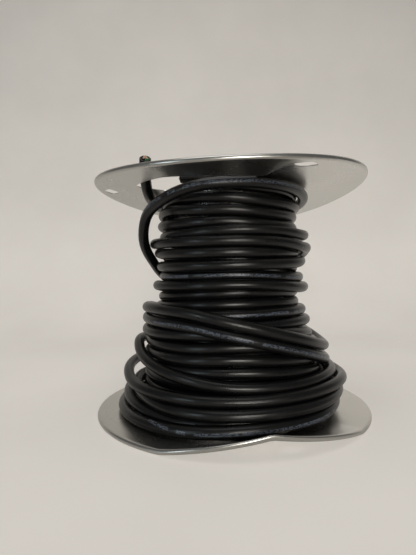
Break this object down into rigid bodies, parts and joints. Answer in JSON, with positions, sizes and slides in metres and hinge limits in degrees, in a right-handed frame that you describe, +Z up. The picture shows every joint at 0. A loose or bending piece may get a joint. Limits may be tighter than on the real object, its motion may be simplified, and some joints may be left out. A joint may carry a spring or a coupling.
{
  "type": "reel of rubber power cable",
  "caption": "Sheet steel reel with curled, dented flanges, wound with black three-core rubber power cable, its two cut ends bare.",
  "frame": {"origin": "on the reel's axis, at the plane that the lower rim stands on", "axes": "+Z up along the reel's axis; -Y is the side with the lower rim's dent and the window that both cable ends stand in; +X to the right seen from there"},
  "size_m": [0.3046, 0.3046, 0.2691],
  "materials": {
    "galvanised_sheet": "satin",
    "plated_steel": "satin",
    "jacket_rubber": "satin",
    "black_insulation": "satin",
    "white_insulation": "satin",
    "green_insulation": "satin",
    "copper": "bare copper"
  },
  "bodies": {
    "root": {"bottom_flange": "galvanised_sheet", "top_flange": "galvanised_sheet", "drum_barrel": "galvanised_sheet", "bottom_arbor_bushing": "plated_steel", "top_arbor_bushing": "plated_steel", "cable_core": "jacket_rubber", "cable_winding": "jacket_rubber", "finish_lead": "jacket_rubber", "start_lead": "jacket_rubber", "finish_black_conductor": "black_insulation", "finish_white_conductor": "white_insulation", "finish_green_conductor": "green_insulation", "finish_black_strands": "copper", "finish_white_strands": "copper", "finish_green_strands": "copper", "start_black_conductor": "black_insulation", "start_white_conductor": "white_insulation", "start_green_conductor": "green_insulation", "start_black_strands": "copper", "start_white_strands": "copper", "start_green_strands": "copper"}
  },
  "joints": []
}
